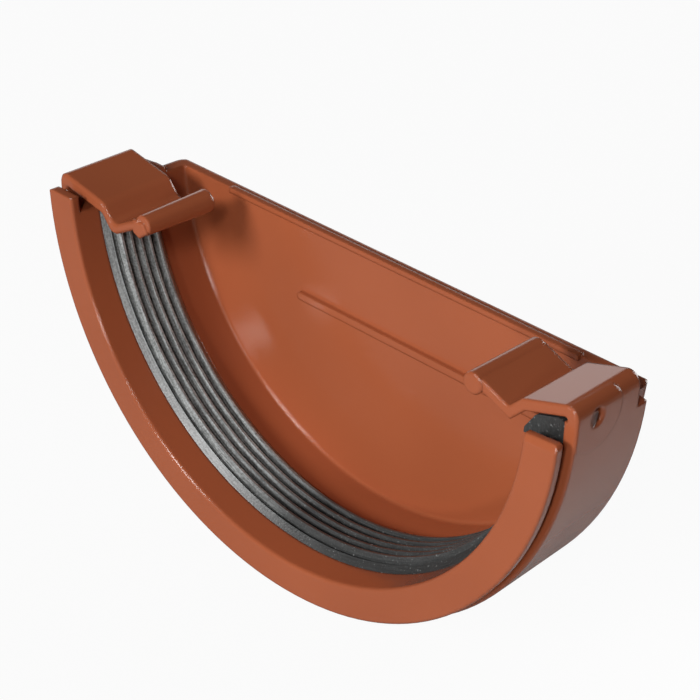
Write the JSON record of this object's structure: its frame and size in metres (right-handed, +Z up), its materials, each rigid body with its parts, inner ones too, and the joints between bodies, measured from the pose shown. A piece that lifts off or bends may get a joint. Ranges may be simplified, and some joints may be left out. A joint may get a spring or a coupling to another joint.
{
  "type": "gutter end cap",
  "caption": "Half-round gutter end cap: open-mouthed moulded body with a flange, snap clips on both sides and a ribbed rubber seal inside.",
  "frame": {"origin": "centre of the half round, in the plane of the flange's front face", "axes": "+X across the gutter, +Y from the mouth to the closed end, +Z up"},
  "size_m": [0.1421, 0.034, 0.074],
  "materials": {
    "brown_pvc": "glossy, light moulding marks",
    "black_rubber": "matt, dusty on the rib tips"
  },
  "bodies": {
    "root": {"cap_body": "brown_pvc", "seal_strip": "black_rubber"}
  },
  "joints": []
}
